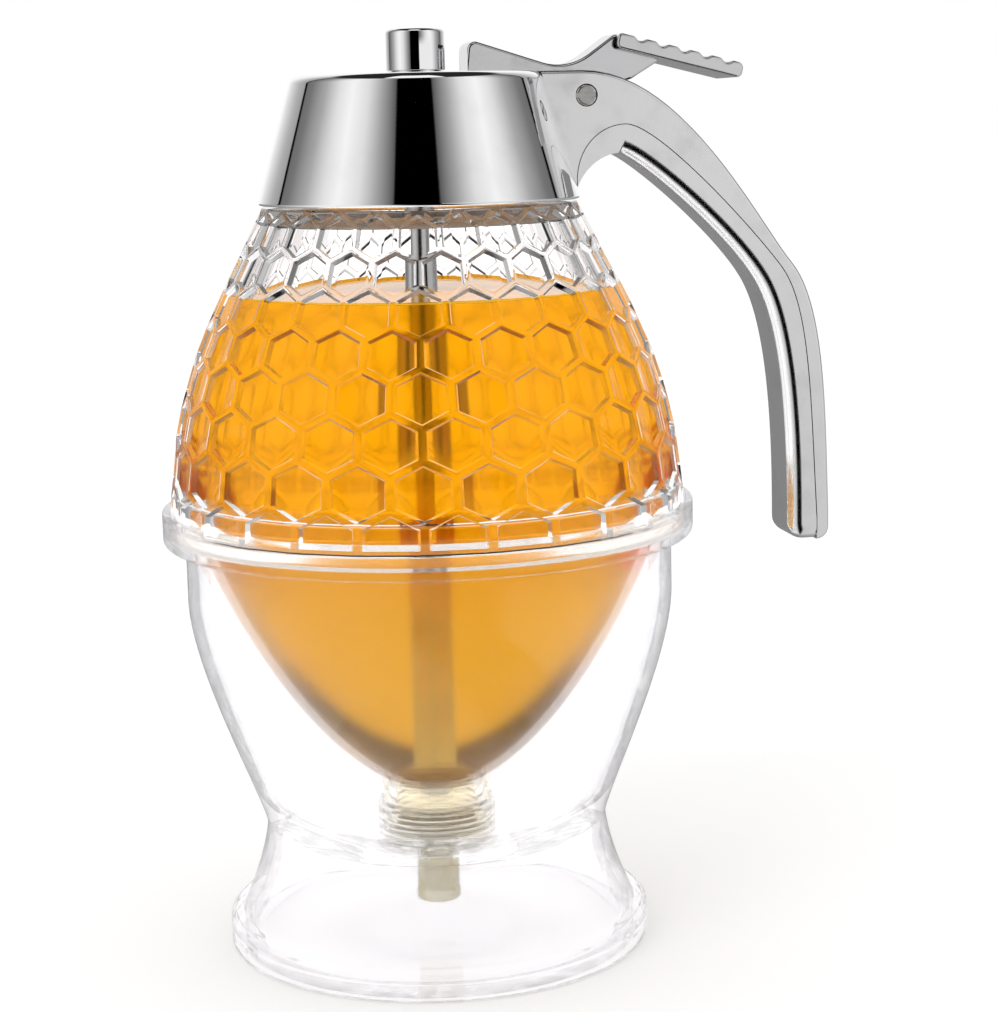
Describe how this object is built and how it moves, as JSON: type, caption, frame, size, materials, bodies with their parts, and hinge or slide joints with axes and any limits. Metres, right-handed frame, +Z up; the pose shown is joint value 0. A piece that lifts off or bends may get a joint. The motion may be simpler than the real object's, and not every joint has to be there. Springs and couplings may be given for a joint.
{
  "type": "honey dispenser with stand",
  "caption": "Clear vessel with a funnel outlet that nests in a clear stand; a chrome screw cap carries a handle and a thumb lever that lifts the plunger.",
  "frame": {"origin": "centre of the stand's flat underside", "axes": "+Z up along the vessel's axis, +X towards the handle, +Y to the left of someone who looks along +X"},
  "size_m": [0.1169, 0.092, 0.1585],
  "materials": {
    "clear_plastic": "clear, polished",
    "vessel_plastic": "clear, moulded honeycomb outside",
    "nut_plastic": "clear, slightly yellow",
    "spout_plastic": "translucent, whitish",
    "seal_rubber": "soft, matt",
    "liner_plastic": "white moulding",
    "cap_chrome": "polished chrome plate",
    "handle_chrome": "satin chrome plate",
    "lever_chrome": "satin chrome plate",
    "screw_steel": "machined",
    "rod_steel": "drawn, smooth",
    "collar_brass": "turned",
    "stopper_silicone": "translucent silicone"
  },
  "bodies": {
    "stand": {"stand_cup": "clear_plastic", "stand_foot": "clear_plastic", "drip_plate": "clear_plastic"},
    "container": {"container_dome": "vessel_plastic", "container_funnel": "vessel_plastic", "outlet_seal": "seal_rubber", "spout_nozzle": "spout_plastic", "outlet_nut": "nut_plastic"},
    "gasket": {"cap_gasket": "seal_rubber"},
    "cap": {"cap_shell": "cap_chrome", "cap_liner": "liner_plastic", "liner_screws": "screw_steel", "rod_guide_bush": "liner_plastic", "handle_shell": "handle_chrome", "handle_cover": "handle_chrome", "handle_screws": "screw_steel", "pivot_screw": "screw_steel", "spring_seat": "screw_steel", "plunger_spring": "screw_steel"},
    "lever": {"trigger_lever": "lever_chrome"},
    "plunger": {"plunger_rod": "rod_steel", "knob": "cap_chrome", "lift_collar": "collar_brass", "collar_clip": "screw_steel", "stopper": "stopper_silicone", "stopper_washer": "screw_steel", "stopper_nut": "screw_steel"}
  },
  "joints": [
    {"name": "container_lift", "type": "slide", "parent": "stand", "child": "container", "axis": [0, 0, 1], "range_m": [0, 0.076]},
    {"name": "cap_rise", "type": "slide", "parent": "container", "child": "gasket", "axis": [0, 0, 1], "range_m": [0, 0.00245]},
    {"name": "cap_turn", "type": "hinge", "parent": "gasket", "child": "cap", "pos_m": [0, 0, 0.13], "axis": [0, 0, 1], "range_deg": [0, 360]},
    {"name": "trigger_press", "type": "hinge", "parent": "cap", "child": "lever", "pos_m": [0.0281, 0, 0.1468], "axis": [0, 1, 0], "range_deg": [0, 10], "stiffness_Nm_per_rad": 0.6, "springref_deg": -5.16},
    {"name": "plunger_lift", "type": "slide", "parent": "cap", "child": "plunger", "axis": [0, 0, 1], "range_m": [0, 0.0051], "deforming": ["plunger_spring"]}
  ],
  "couplings": [
    {"joint": "cap_rise", "follows": "cap_turn", "m_per_rad": 0.00038197},
    {"joint": "plunger_lift", "follows": "trigger_press", "m_per_rad": 0.0286}
  ]
}
